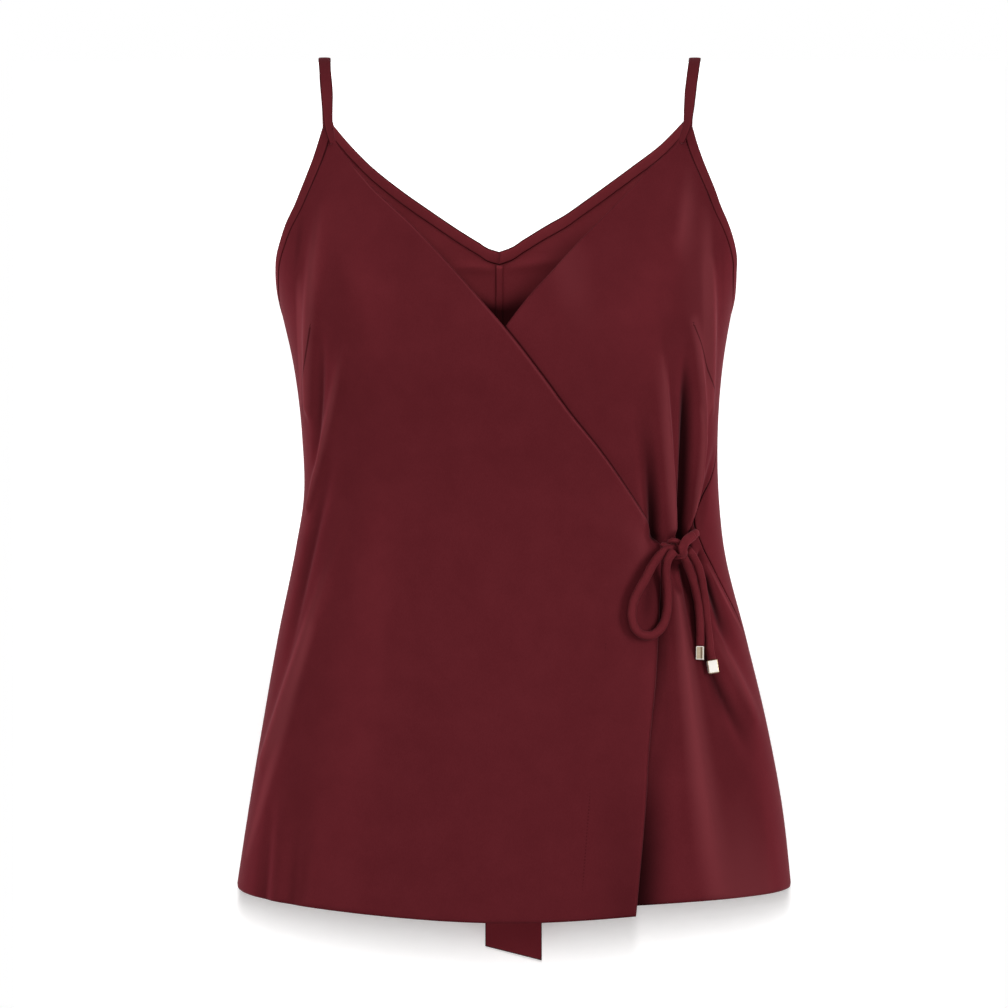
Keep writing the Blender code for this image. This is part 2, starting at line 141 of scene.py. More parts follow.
world = bpy.data.worlds.new("studio")
scene.world = world
air = Finish(world)
seen = air.node("ShaderNodeLightPath")
white = air.node("ShaderNodeBackground", {}, {"Color": (1, 1, 1, 1), "Strength": 1.0})
fill = air.node("ShaderNodeBackground", {}, {"Color": (1, 1, 1, 1), "Strength": 0.07})
both = air.node("ShaderNodeMixShader", {}, {0: seen, 1: fill, 2: white})
air.node("ShaderNodeOutputWorld", {}, {"Surface": both})

card_white = Finish(bpy.data.materials.new("card_white"))
matt = card_white.node("ShaderNodeBsdfDiffuse", {}, {"Color": (0.93, 0.93, 0.93, 1)})
on_card = card_white.node("ShaderNodeTexCoord", output="Object")
# The card glows as well as being lit, more faintly towards the bottom, where the hem's shadow
# falls.
height = card_white.node("ShaderNodeSeparateXYZ", {}, {0: on_card}, output=2)
fading = card_white.mixed(height.eased(-0.5, -0.25), (0.2, 0.2, 0.2), (0.9, 0.9, 0.9))
glow = card_white.node("ShaderNodeEmission", {}, {"Color": fading, "Strength": 1.0})
lit = card_white.node("ShaderNodeAddShader", {}, {0: matt, 1: glow})
behind = card_white.node("ShaderNodeNewGeometry", output=6)
clear = card_white.node("ShaderNodeBsdfTransparent")
one_sided = card_white.node("ShaderNodeMixShader", {}, {0: behind, 1: lit, 2: clear})
card_white.node("ShaderNodeOutputMaterial", {}, {"Surface": one_sided})
floor_white = Finish(bpy.data.materials.new("floor_white"))
pale = floor_white.node("ShaderNodeBsdfDiffuse", {}, {"Color": (0.8, 0.8, 0.79, 1)})
glow = floor_white.node("ShaderNodeEmission", {}, {"Color": (1, 1, 0.99, 1), "Strength": 0.35})
floor_white.node("ShaderNodeOutputMaterial", {},
                 {"Surface": floor_white.node("ShaderNodeAddShader", {}, {0: pale, 1: glow})})

FLOOR_HEIGHT, CARD_DEPTH, CARD_HALF = -0.76, 0.15, 0.385
backdrops = bpy.data.collections.new("backdrops")
spared = bpy.data.collections.new("spared")
for name, turn, half, place, made in (
        ("floor", 0, 1.8, (0, CARD_DEPTH - 1.8, FLOOR_HEIGHT), floor_white),
        ("card", math.pi / 2, CARD_HALF, (0, CARD_DEPTH, FLOOR_HEIGHT + CARD_HALF), card_white)):
    shape = bmesh.new()
    bmesh.ops.create_grid(shape, x_segments=1, y_segments=1, size=half)
    mesh = bpy.data.meshes.new(name)
    bmesh.ops.rotate(shape, verts=shape.verts, cent=(0, 0, 0),
                     matrix=Quaternion((1, 0, 0), turn).to_matrix())
    bmesh.ops.translate(shape, verts=shape.verts, vec=place)
    shape.to_mesh(mesh)
    shape.free()
    mesh.materials.append(made.owner)
    backdrop = bpy.data.objects.new(name, mesh)
    scene.collection.objects.link(backdrop)
    backdrops.objects.link(backdrop)
    spared.objects.link(backdrop)
    spared.collection_objects[-1].light_linking.link_state = "EXCLUDE"

MIDDLE = (0, 0, -0.36)
soft_light("side_box_left", (-1.6, -1.15, 0.1), MIDDLE, 0.6, 1.5, 17.5)
soft_light("side_box_right", (1.6, -1.15, -0.1), MIDDLE, 0.6, 1.5, 19)
soft_light("rim_strip_left", (-0.8, 0.4, -0.3), (-0.16, 0, -0.35), 0.3, 1.6, 4.0)
soft_light("rim_strip_right", (0.8, 0.4, -0.2), (0.16, 0, -0.3), 0.3, 1.3, 4.0)
soft_light("top_box", (0, -0.7, 1.5), MIDDLE, 1.4, 1.0, 10)
soft_light("front_box", (0.1, -3.2, 0.4), MIDDLE, 2.4, 2.4, 18)
soft_light("card_light", (0, -4.0, -0.065), MIDDLE, 0.12, 0.53, 118, card_only=True)


# ---- Rouleau ties ------------------------------------------------------------------------
# Bias strips of the same crepe, sewn into round cords 6 mm thick and turned. One leaves the
# left side seam, the other the corner of the right front, and they tie a bow with one loop.
def smooth(table, at, column=1):
    """Read a column of a table at some distances, on a smooth curve through its rows."""
    rows = np.array(table, float)
    knots, values = rows[:, 0], rows[:, column]
    slopes = np.gradient(values, knots)
    at = np.clip(np.asarray(at, float), knots[0], knots[-1])
    i = np.clip(np.searchsorted(knots, at, side="right") - 1, 0, len(knots) - 2)
    span = knots[i + 1] - knots[i]
    t = (at - knots[i]) / span
    return ((2 * t**3 - 3 * t**2 + 1) * values[i] + (t**3 - 2 * t**2 + t) * span * slopes[i]
            + (3 * t**2 - 2 * t**3) * values[i + 1] + (t**3 - t**2) * span * slopes[i + 1])


def curve_through(points, step):
    """Evenly spaced points of a smooth curve through a route's own points."""
    points = np.array(points, float)
    knots = np.concatenate(([0], np.cumsum(np.linalg.norm(np.diff(points, axis=0), axis=1))))
    at = np.linspace(0, knots[-1], max(3, round(knots[-1] / step) + 1))
    return np.stack([smooth(np.column_stack((knots, points[:, k])), at) for k in range(3)], axis=1)


def unit(vectors):
    return vectors / np.maximum(np.linalg.norm(vectors, axis=-1, keepdims=True), 1e-12)


def laid(points, closed=False, flip=False, **lines):
    """A grid of faces moved onto rows of points, with its own UV map; closed rows make a tube
    that gets capped ends. Named lines are numbers that the mesh keeps for its finish."""
    rows, columns = points.shape[:2]
    shape = bmesh.new()
    shape.loops.layers.uv.new("UVMap")
    layers = {name: shape.verts.layers.float.new(name) for name in lines}
    bmesh.ops.create_grid(shape, x_segments=columns - 1, y_segments=rows - 1, size=0.5,
                          calc_uvs=True)
    for vertex in shape.verts:
        column = round((vertex.co.x + 0.5) * (columns - 1))
        row = round((0.5 - vertex.co.y) * (rows - 1))
        vertex.co = points[row, column] * MM
        for name, layer in layers.items():
            vertex[layer] = lines[name][row, column]
    if closed:
        bmesh.ops.remove_doubles(shape, verts=shape.verts, dist=1e-7)
        bmesh.ops.holes_fill(shape, edges=[edge for edge in shape.edges if edge.is_boundary])
        bmesh.ops.recalc_face_normals(shape, faces=shape.faces)
    elif flip:
        bmesh.ops.reverse_faces(shape, faces=shape.faces)
    return shape


def sewn(name, shape, finish):
    """Turn a finished bmesh into a piece that stays on the top."""
    mesh = bpy.data.meshes.new(name)
    shape.to_mesh(mesh)
    shape.free()
    mesh.shade_smooth()
    mesh.materials.append(finish.owner)
    made = bpy.data.objects.new(name, mesh)
    scene.collection.objects.link(made)
    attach(made, "root")
    return made


def level_frames(centres):
    """Directions across and up for each station of a route, without twist."""
    up, across = [], []
    previous = np.array((0.0, -1.0, 0.0))
    for step in unit(np.gradient(centres, axis=0)):
        previous = previous - step * (previous @ step)
        previous /= np.linalg.norm(previous)
        up.append(previous)
        across.append(np.cross(step, previous))
    return np.array(across), np.array(up)


def rouleau(route, width, thick, step=1.2, sides=20):
    """Points of a soft tube of cloth along a route, a little uneven as turned cloth is, and the
    centres of its rings."""
    centres = curve_through(route, step)
    across, up = level_frames(centres)
    turn = np.linspace(0, 2 * math.pi, sides + 1)
    run = np.arange(len(centres))[:, None] * step
    uneven = 1 + 0.025 * np.sin(run * 0.55 + 2 * turn) + 0.018 * np.sin(run * 0.23 + 3 * turn + 1)
    return (centres[:, None] + across[:, None] * (0.5 * width * uneven * np.sin(turn))[..., None]
            + up[:, None] * (0.5 * thick * uneven * np.cos(turn))[..., None]), centres


LINE_REACH = 12.0                 # how far a seam or stitch line's closeness reaches
STITCH_LENGTH = 0.0024


def crepe_finish(name, colour, pale, weave_scale=1500.0, roughness=0.46, sheen=0.12, shine=0.14,
                 painted_tone_attribute="fold"):
    """Matt side of a satin-back crepe: fine pebbly grain, a faint mottle and a soft sheen. Its
    seams and darts darken and it shows the stitches of its facing line. A painted shade darkens
    its creases and beside the edges of a piece on top, and a painted highlight pales its crests."""
    made = Finish(bpy.data.materials.new(name))

    def kept(attribute):
        return made.node("ShaderNodeAttribute", {"attribute_name": attribute}, output=2)

    def line(attribute, half, soft):
        """1 on a line whose closeness the mesh keeps, 0 beside it."""
        return 1 - ((1 - kept(attribute)) * LINE_REACH).eased(half, half + soft)

    def fine_line(attribute, half, soft):
        """The same from a signed distance, which stays even where the mesh is coarse."""
        off = abs(kept(attribute + "_off"))
        return kept(attribute).eased(0.6, 0.75) * (1 - off.eased(half, soft))

    place = made.node("ShaderNodeTexCoord", output="Object")
    slub = made.node("ShaderNodeMapping", {}, {"Vector": place, "Scale": (1.0, 1.0, 0.42)})
    grain = made.node("ShaderNodeTexNoise", {}, {"Vector": slub, "Scale": weave_scale,
                                                 "Detail": 2.0, "Roughness": 0.55})
    mottle = made.node("ShaderNodeTexNoise", {}, {"Vector": place, "Scale": 38.0, "Detail": 3.0,
                                                  "Roughness": 0.6})
    dyed = made.mixed((grain * 0.5 + mottle * 0.5).eased(0.25, 0.75), colour, pale)

    run = made.node("ShaderNodeSeparateXYZ", {}, {0: place}, output=2)
    stitch = (run * (2 * math.pi / STITCH_LENGTH)).wave().eased(-0.2, 0.5)
    seam, fold = line("seam", 0.25, 0.8), kept(painted_tone_attribute)
    # Dark seams and darts and the stitches, with painted shade in the creases, beside the upper
    # front's edges and in the hollows of the folds.
    seams_and_painted_shade = (seam * 0.75).most(fine_line("dart", 0.25, 1.0) * 0.6)
    seams_and_painted_shade = seams_and_painted_shade.most(fine_line("lap", 0.9, 1.9) * 0.66)
    seams_and_painted_shade = seams_and_painted_shade.most(line("shadow", 0.4, 2.4) * 0.75)
    seams_and_painted_shade = seams_and_painted_shade.most(line("stitches", 0.25, 0.5) * stitch * 0.4)
    seams_and_painted_shade = seams_and_painted_shade.most((fold * -1).eased(0.4, 6.5) * 0.94)
    # A painted highlight pales the crests of the folds.
    lit = made.mixed(fold.eased(0.6, 3.8) * 0.7, dyed, [1.47 * c + 0.011 for c in pale])
    colour_with_painted_tone = made.mixed(seams_and_painted_shade, lit, [0.08 * c + 0.0009 for c in colour])
    relief = made.node("ShaderNodeBump", {}, {"Height": grain * 0.12 - seam, "Strength": 0.5,
                                              "Distance": 0.0008})
    shader = made.node("ShaderNodeBsdfPrincipled", {},
                       {"Base Color": colour_with_painted_tone, "Roughness": roughness, "Metallic": shine,
                        "Specular IOR Level": 0.0, "Specular Tint": (1.0, 0.45, 0.5, 1),
                        "Sheen Weight": sheen, "Sheen Roughness": 0.35,
                        "Sheen Tint": (1.0, 0.48, 0.54, 1), "Normal": relief})
    made.node("ShaderNodeOutputMaterial", {}, {"Surface": shader})
    return made


TIE_SIDE_ROUTE = ((138.1, -68.2, -355.1), (136.6, -72.5, -356.2), (133.4, -79, -358.4),
                  (130.1, -84.9, -360.7))
TIE_FRONT_ROUTE = ((112.4, -90.3, -364.8), (114.7, -89.7, -365.4), (117.05, -89.1, -366))
LOOP_ROUTE = ((121.5, -89, -366.4), (116.6, -92.4, -367.1), (111.2, -96.6, -370.7),
              (105.6, -100.4, -377.6), (100, -103.5, -388), (95.5, -105, -395.5),
              (92, -106, -402.5), (90, -107, -410), (90, -108, -418.5), (92.5, -108, -425.5),
              (97.5, -106.5, -429.5), (103.5, -104, -430), (109.5, -100, -426.5),
              (113.6, -96, -420.5), (115.6, -93.5, -412.5), (116.2, -92.5, -403.5),
              (115.8, -92.5, -394.5), (114.8, -94, -386), (115, -96, -379.2),
              (117.2, -97.6, -373), (120.6, -96, -368.6))
TAIL_1_ROUTE = ((128.1, -87.1, -372.6), (131.5, -80.5, -380), (135.5, -76.5, -391),
                (138.5, -75.5, -404), (140, -78, -417), (140.5, -81, -428.5),
                (140.4, -82, -438.4))
TAIL_2_ROUTE = ((131.2, -85.6, -367.6), (134.2, -81.5, -371.2), (137.9, -78, -377.4),
                (141, -75.8, -386.4), (142.7, -74.5, -395), (144, -73.8, -405),
                (145.3, -75, -419), (146.7, -77.5, -431), (147.6, -79.2, -440),
                (148.9, -79.8, -448.4))
FLANK_SHADE, GLINT_TURN, GLINT_WIDTH = 2.4, 5.2, 0.22

# Each cord's route, width and thickness, and how bright the painted highlight along it is; a
# painted shade darkens each cord's flanks.
# The cords' crepe is painted a little lighter than the body's, as painted light on the round
# cords.
rouleau_crepe_painted_lighter = crepe_finish("rouleau_crepe_painted_lighter", (0.112, 0.0145, 0.0192), (0.138, 0.0194, 0.0252),
                             1900.0, 0.55, 0.1)
cords, cord_lines = {}, {}
for name, route, width, thick, glint in (("tie_side", TIE_SIDE_ROUTE, 6.4, 4.4, 3.0),
                                         ("tie_front", TIE_FRONT_ROUTE, 6.2, 5.4, 0.0),
                                         ("loop", LOOP_ROUTE, 6.8, 5.6, 0.0),
                                         ("tail_1", TAIL_1_ROUTE, 6.2, 5.4, 2.2),
                                         ("tail_2", TAIL_2_ROUTE, 6.2, 5.4, 4.4)):
    points, centres = rouleau(route, width, thick)
    turn = np.linspace(0, 2 * math.pi, points.shape[1])
    tone = glint * np.exp(-((turn - GLINT_TURN) / GLINT_WIDTH)**2) - FLANK_SHADE * np.sin(turn)**2
    cords[name] = sewn(name + "_rouleau",
                       laid(points, closed=True, fold=np.broadcast_to(tone, points.shape[:2])),
                       rouleau_crepe_painted_lighter)
    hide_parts(name)
    cord_lines[name] = centres

# The knot: the side tie comes down over its front and tucks in below; the other end arches
# over the top behind it, and two narrow turns show underneath.
KNOT_CENTRE, KNOT_SIZE = (125.2, -87.6, -366), (10.5, 7.0, 10.0)
WRAPS = (
    (((135.2, -80.5, -357.2), (131.7, -87, -359.6), (128.9, -92.2, -362.3), (127.5, -94.6, -365.5),
      (127.4, -93.4, -368.8), (127.9, -89, -371.3)), 7.3, 4.2),
    (((117.6, -88.6, -361.8), (120, -91.2, -360.7), (123.2, -91, -361.4),
      (126, -88.5, -363)), 3.8, 3.6),
    (((111.8, -89.6, -363.6), (114.8, -91, -364.7), (118.2, -91.2, -365.6),
      (121.6, -89, -366.6)), 3.4, 3.6),
    (((119.6, -88.8, -370.4), (122.2, -92.8, -371.4), (126.4, -93.2, -371.4),
      (130.2, -88.4, -369.6)), 1.9, 2.6),
    (((119.8, -87.2, -372.8), (123, -91.0, -373.6), (126.8, -91.0, -373.4),
      (130.2, -86.6, -371.6)), 1.8, 2.4),
)
knot_shape = bmesh.new()
bmesh.ops.create_uvsphere(knot_shape, u_segments=24, v_segments=14, radius=0.5)
bmesh.ops.scale(knot_shape, vec=Vector(KNOT_SIZE) * MM, verts=knot_shape.verts)
bmesh.ops.translate(knot_shape, vec=Vector(KNOT_CENTRE) * MM, verts=knot_shape.verts)
for route, width, thick in WRAPS:
    wrap = laid(rouleau(route, width, thick, 0.8)[0], closed=True)
    kept = bpy.data.meshes.new("wrap")
    wrap.to_mesh(kept)
    wrap.free()
    knot_shape.from_mesh(kept)
    bpy.data.meshes.remove(kept)
knot = sewn("knot_wraps", knot_shape, rouleau_crepe_painted_lighter)
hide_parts("knot")


# ---- Metal tips --------------------------------------------------------------------------
# Small square caps of pale gold plated metal, pressed on the two ends of the ties.
TIP_WIDTH, TIP_DEPTH, TIP_HEIGHT, TIP_GAP = 7.8, 5.6, 9.8, 0.3
TIP_BEVEL, TIP_RIM, TIP_MOUTH = 0.55, 0.9, 0.8


def plated(name, colour, pale, metal, roughness, reflection_x=None):
    """Pale gold plating with faint wear, and if asked for, a painted dark reflection band down it.
    """
    made = Finish(bpy.data.materials.new(name))
    where = made.node("ShaderNodeTexCoord", output="Object")
    wear = made.node("ShaderNodeTexNoise", {}, {"Vector": where, "Scale": 900.0, "Detail": 3.0})
    tone = made.mixed(wear, colour, pale)
    if reflection_x:
        # A painted dark reflection band runs down the face at a given distance across.
        across = made.node("ShaderNodeSeparateXYZ", {}, {0: where})
        painted_reflection = 1 - (abs(across - reflection_x * MM) * (1 / MM)).eased(0.25, 0.95)
        tone = made.mixed(painted_reflection * 0.85, tone, (0.10, 0.055, 0.03))
    shader = made.node("ShaderNodeBsdfPrincipled", {}, {"Base Color": tone, "Metallic": metal,
                                                        "Roughness": wear * 0.14 + roughness})
    made.node("ShaderNodeOutputMaterial", {}, {"Surface": shader})
    return made


gilt_face = plated("pale_gold_face", (0.93, 0.88, 0.78), (0.98, 0.96, 0.92), 0.08, 0.3)
gilt_edge = plated("gold_edge", (0.42, 0.30, 0.16), (0.62, 0.47, 0.28), 1.0, 0.2)
# The first tip's face carries a painted reflection band.
gilt_painted_reflection = plated("gold_painted_reflection", (0.40, 0.30, 0.20), (0.60, 0.50, 0.36), 0.5, 0.3, 141.1)

tips = {}
for name, route, turn in (("tip_1", TAIL_1_ROUTE, 84), ("tip_2", TAIL_2_ROUTE, 6)):
    shape = bmesh.new()
    bmesh.ops.create_cube(shape, size=1)
    bmesh.ops.scale(shape, vec=Vector((TIP_WIDTH, TIP_DEPTH, TIP_HEIGHT)), verts=shape.verts)
    bmesh.ops.bevel(shape, geom=shape.edges[:], offset=TIP_BEVEL, segments=3, affect="EDGES",
                    profile=0.5, material=1)
    top = max(shape.faces, key=lambda face: face.calc_center_median().z)
    bmesh.ops.inset_region(shape, faces=[top], thickness=TIP_RIM, depth=0.0)
    bmesh.ops.inset_region(shape, faces=[top], thickness=0.05, depth=-TIP_MOUTH)
    end, before = Vector(route[-1]), Vector(route[-2])
    down = (end - before).normalized()
    upright = Vector((0, 0, -1)).rotation_difference(down)
    bmesh.ops.rotate(shape, verts=shape.verts, cent=(0, 0, 0),
                     matrix=(upright @ Quaternion((0, 0, 1), math.radians(turn))).to_matrix())
    bmesh.ops.translate(shape, verts=shape.verts, vec=end + down * (TIP_HEIGHT / 2 + TIP_GAP))
    bmesh.ops.scale(shape, verts=shape.verts, vec=(MM, MM, MM))
    faces, edges = (gilt_painted_reflection, gilt_face) if name == "tip_1" else (gilt_face, gilt_edge)
    tips[name] = sewn(name + "_cap", shape, faces)
    tips[name].data.materials.append(edges.owner)
    tips[name].data.shade_flat()
    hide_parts(name)

for name, far_end, carried in (("loop", "object", knot), ("tail_1", "fitting", tips["tip_1"]),
                               ("tail_2", "fitting", tips["tip_2"])):
    line = cord_lines[name] * MM


# ---- The fronts --------------------------------------------------------------------------
# Two crepe panels with a bust dart each. The wearer's right one lies on top, its neck edge and
# free edge faced and turned, and is held at its corner; the left one passes underneath and is
# gathered at its side seam, where the tie is sewn in.
#
# Every table below runs down the top by drop, in millimetres below the shoulders. Sections give
# how far the body reaches to each side; armholes and side seams are angles round it, 0 at the
# centre front; the other edges are distances across.
SECTION_COLUMNS = ("drop", "right", "left", "front", "back")
SECTIONS = (
    (0, 162, 162, 44, 40),
    (50, 173, 171, 83, 74),
    (100, 179, 177, 105, 92),
    (150, 178.5, 175.5, 121, 102),
    (190, 170, 166.5, 129, 106),
    (225, 162, 160.5, 127, 104),
    (285, 154.5, 156, 115, 96),
    (330, 153.5, 157, 107, 91),
    (365, 159, 160.5, 106, 92),
    (435, 173, 177.5, 112, 102),
    (495, 183.5, 192, 120, 110),
    (555, 193.5, 203.5, 127, 117),
    (640, 206.5, 213, 134, 123),
)
SQUARENESS = 2.3
UNDERARM_DROP, CORNER_DROP = 184, 364
FRONT_ARMHOLES = {
    -1: ((56, 66.9), (64, 66.6), (80, 66.6), (91, 67.2), (102, 68.1), (113, 69.3), (127, 72.1),
         (138.5, 74.4), (150.5, 77.6), (163.5, 80.9), (174.5, 85), (184, 90)),
    1: ((56, 66.5), (64, 66.1), (80, 66.2), (91, 66.9), (102, 67.9), (113, 68.9), (127, 71.5),
        (138.5, 73.9), (150.5, 76.5), (164, 78.8), (175, 83), (184, 90)),
}
BACK_ARMHOLE = ((44, 108.3), (50, 109.2), (60, 110.3), (76, 111.4), (104, 110.6), (130, 107.3),
                (152, 103.3), (168, 99), (179, 94.5), (184, 90))
NECK_EDGE = ((56, -132.5), (66.7, -128.2), (84.5, -115.2), (96.8, -105), (104.6, -98.3),
             (115, -87.6), (124.4, -77.6), (132, -69.6), (141.3, -60.9), (148.7, -54),
             (158.5, -45.2), (185.6, -21.1), (205.2, -3.8), (240, 23.5), (269, 45), (295, 66),
             (325, 87), (364, 110))
UNDER_EDGE = ((56, 131), (65.2, 125.8), (77, 115.3), (86, 104.6), (98, 94.2), (111.3, 81.7),
              (125.5, 67.8), (139.5, 54), (165.4, 30.4), (182, 15.3), (202.7, -0.8), (240, -27),
              (269, -48.5), (295, -69.5), (325, -90.5), (364, -113.5), (385, -114.5), (431, -112),
              (484, -108), (537, -104.5), (589, -101.5), (635, -97))
FREE_EDGE = ((364, 110), (385, 111), (431, 108.5), (462, 106), (484, 103.2), (506, 100.6),
             (537, 98.4), (565, 96.0), (585, 94.1), (605, 92.2), (619, 90.8))
LEFT_SIDE_SEAM = ((184, 90), (240, 90), (280, 86), (296, 82.2), (312, 76.8), (330, 70.6),
                  (347, 66.9), (356, 66.9), (362, 67.9), (379, 71.6), (396, 75.3), (422, 81.9),
                  (450, 88), (470, 90), (640, 90))
RIGHT_SIDE_SEAM = ((184, -90), (640, -90))
HEM_SIDE, HEM_OVER, HEM_UNDER, HEM_BACK = 619, 638, 628, 626
LAP, SEAM = 2.8, 0.12
CLOTH_WALL = 0.8
BINDING_WIDTH = 9.4

# The left front's guiding columns, by drop: how far across they lie, closer where it gathers.
GATHER_STATIONS = (34, 70, 90, 108)
GATHER = (
    (184, 62, 108, 124, 145),
    (222, 66, 113, 127.5, 145),
    (285, 84, 118, 129.7, 143),
    (330, 92, 121.5, 128.2, 137),
    (357, 98, 122, 126.5, 131),
    (382, 104, 121, 131, 141),
    (450, 104, 128, 146, 161),
    (520, 98, 140, 163, 182),
    (640, 88, 144, 170, 193),
)

# Folds and creases: from one place to another, across and down, bowed sideways in the middle;
# widths at the ends, heights at the ends and half way, and how much wider one flank is.
# On the fronts, the lifts also set a painted shade in the hollows and a painted highlight on the
# crests.
FOLD_COLUMNS = ("x0", "drop0", "x1", "drop1", "bow", "wide0", "wide1", "high0", "high_mid",
                "high1", "lean")
FOLDS = {
    "front": (
        (90, 280, 100, 345, 0, 9, 6, 0.0, 1.0, 1.4, 1),
        (97, 245, 106.5, 357, 2.5, 9, 5, 0.0, -3.4, -8.0, 1),
        (110, 205, 121.5, 352, 0.6, 12, 5.5, 0.0, 3.6, 4.2, 0.3),
        (131, 196, 128.6, 357, 2.6, 12.5, 7.0, 0.0, -4.8, -5.4, 0.85),
        (131, 225, 128, 357, 1.8, 5.5, 3.8, 0.0, -2.4, -3.6, 1.1),
        (136, 206, 131.5, 356, 9, 9, 3.4, 0.5, 4.4, 4.0, 0.5),
        (153, 290, 135, 356, 1, 5, 3.5, 0.0, -2.4, -2.6, 1),
        (132.5, 80, 125, 158, 0, 8, 9, 0.0, 1.6, 0.0, 1),
        (124, 88, 109, 142, 0, 8, 9, 0.0, -1.2, 0.0, 1),
        (148, 150, 149.5, 262, 0, 7, 6, 0.0, 3.2, 1.8, 1),
        (20, 330, 96, 358, 4, 22, 12, 0.0, 0.8, 1.6, 1),
        (10, 420, 96, 374, -6, 24, 12, 0.0, 0.7, 1.6, 1),
        (120.5, 386, 154.5, 628, -2.0, 9, 19, 3.4, 3.6, 2.2, 0.9),
        (119, 374, 124.5, 402, 0, 4, 3.5, -4.0, -3.6, 0.0, 1),
        (127, 380, 138.5, 452, 0, 4, 6, -3.4, -2.6, 0.0, 1),
        (146.5, 446, 181, 522, 0, 5, 13, -3.0, -3.4, 0.0, 1),
        (142, 372, 166, 446, 0, 3.5, 9, -4.0, -3.2, 0.0, 1),
        (149, 426, 181, 490, 0, 5, 9, 1.6, 3.2, 1.6, 1),
        (112, 384, 112, 540, 3, 8, 14, -3.0, -2.2, 0.0, 1),
        (-135.5, 95, -148.5, 262, -3.5, 8, 6.5, 0.0, 3.4, 3.6, 1.1),
        (-137.2, 205, -143, 305, 0, 6, 5, 0.0, -3.0, -0.8, 1),
        (-118.5, 208, -148.2, 336, 1.5, 6, 5, 0.0, 3.4, 2.6, 0.7),
        (-128, 292, -163, 446, -2, 8, 6, 0.0, -3.0, -0.8, 1),
        (-122, 345, -182, 524, 1, 7, 8, 0.0, 3.0, 3.0, 0.9),
        (-173, 545, -184, 650, 0, 6, 8, 0.0, -1.8, -2.6, 1),
        (-169, 550, -172, 655, 0, 7, 7, 0.0, 1.2, 1.6, 1),
        (-153, 540, -163, 655, 0, 8, 8, 0.0, -1.4, -2.4, 1),
        (-139, 545, -152, 655, 0, 9, 9, 0.0, 1.0, 1.6, 1),
        (186, 540, 192, 655, 0, 16, 20, 0.0, 1.2, 2.2, 1),
        (166, 545, 172, 655, 0, 14, 16, 0.0, 0.8, 1.0, 1),
    ),
    "back": (
        (150, 352, 70, 300, 6, 9, 24, 1.8, 1.4, 0.0, 1),
        (150, 372, 60, 430, -6, 9, 26, -1.8, -1.4, 0.0, 1),
        (-44, 151, -14, 153.5, 0, 3.4, 2.6, 0.0, -1.0, -0.8, 1),
        (1, 152.5, 46, 146, 0, 3, 4, -0.6, -1.0, 0.0, 1),
        (-120, 420, -135, 655, 0, 18, 26, 0.0, 2.0, 3.0, 1),
        (-75, 440, -82, 655, 0, 18, 26, 0.0, -1.8, -3.0, 1),
        (75, 430, 84, 655, 0, 18, 26, 0.0, 2.0, 3.0, 1),
        (125, 440, 140, 655, 0, 18, 26, 0.0, -1.8, -3.0, 1),
    ),
}

# Painted highlight and painted shade: places painted lighter or darker without a fold of their
# own, in the same columns.
PAINTED_TONES = {
    "front": (
        (132, 95, 138, 225, 0, 20, 20, 0.8, 1.6, 1.2, 1),
        (111, 226, 123.5, 333, 0, 1.7, 1.5, 0.6, 2.2, 1.4, 1),
        (139.5, 262, 140, 330, 3.5, 1.7, 1.5, 0.4, 2.0, 1.0, 1),
        (146, 120, 147, 258, 0, 7, 6, 1.0, 3.8, 4.4, 0.9),
        (157, 120, 159, 240, 0, 5, 4, -0.5, -1.6, -0.6, 1),
        (136.5, 200, 139.5, 324, 8, 5, 4, 2.0, 3.6, 2.0, 0.9),
        (36, 140, 52, 195, 0, 24, 24, 1.6, 1.9, 1.4, 1),
        (101, 388, 99, 420, 0, 6, 7, -3.0, -3.4, -2.4, 1),
        (132.8, 361, 134.6, 368, 0, 2.4, 2.0, -2.0, -5.0, -2.0, 1),
        (147.5, 390, 158, 434, 0, 4.5, 7, -3.4, -3.6, -1.4, 1),
        (147, 378, 175.6, 433, -0.5, 1.8, 1.8, 3.0, 4.2, 2.0, 1),
        (143, 452, 158, 492, 0, 6, 8, -2.4, -2.0, -0.4, 1),
        (165, 520, 180, 640, 0, 18, 24, 0.4, 1.5, 1.5, 1),
        (78, 510, 84, 650, 0, 26, 26, -0.4, -1.7, -2.0, 1),
        (-152, 120, -158, 165, 0, 5, 4, -1.0, -2.2, -1.0, 1),
        (-154.5, 166, -155, 262, 0, 6, 4, 1.6, 4.8, 2.0, 1),
        (-148, 430, -194, 592, 0, 10, 9, 1.2, 3.0, 2.2, 1),
    ),
}
# Painted shade under the cords: its depth, where it ends and how soft it is.
CORD_SHADE, CORD_SHADE_END, CORD_SHADE_SOFT = 3.8, 12.0, 8.0
LINE_STEP = 6


def ramp(low, high, at):
    """0 below low, 1 above high, eased between."""
    t = np.clip((np.asarray(at, float) - low) / (high - low), 0, 1)
    return t * t * (3 - 2 * t)


def section(name, drop):
    return smooth(SECTIONS, drop, SECTION_COLUMNS.index(name))


def body(angle, drop):
    """Points of the plain body surface, before folds."""
    angle, drop = np.broadcast_arrays(np.radians(angle), np.asarray(drop, float))
    across, ahead = np.sin(angle), np.cos(angle)
    half = np.where(across < 0, section("right", drop), section("left", drop))
    depth = np.where(ahead > 0, section("front", drop), section("back", drop))
    whole = np.abs(across / half)**SQUARENESS + np.abs(ahead / depth)**SQUARENESS
    reach = whole**(-1 / SQUARENESS)
    return np.stack((reach * across, -reach * ahead, -drop), axis=-1)


def outward(angle, drop):
    """Unit normals of the plain body surface."""
    turn = body(np.asarray(angle) + 0.5, drop) - body(np.asarray(angle) - 0.5, drop)
    fall = body(angle, np.asarray(drop) + 1) - body(angle, np.asarray(drop) - 1)
    return unit(np.cross(fall, turn))


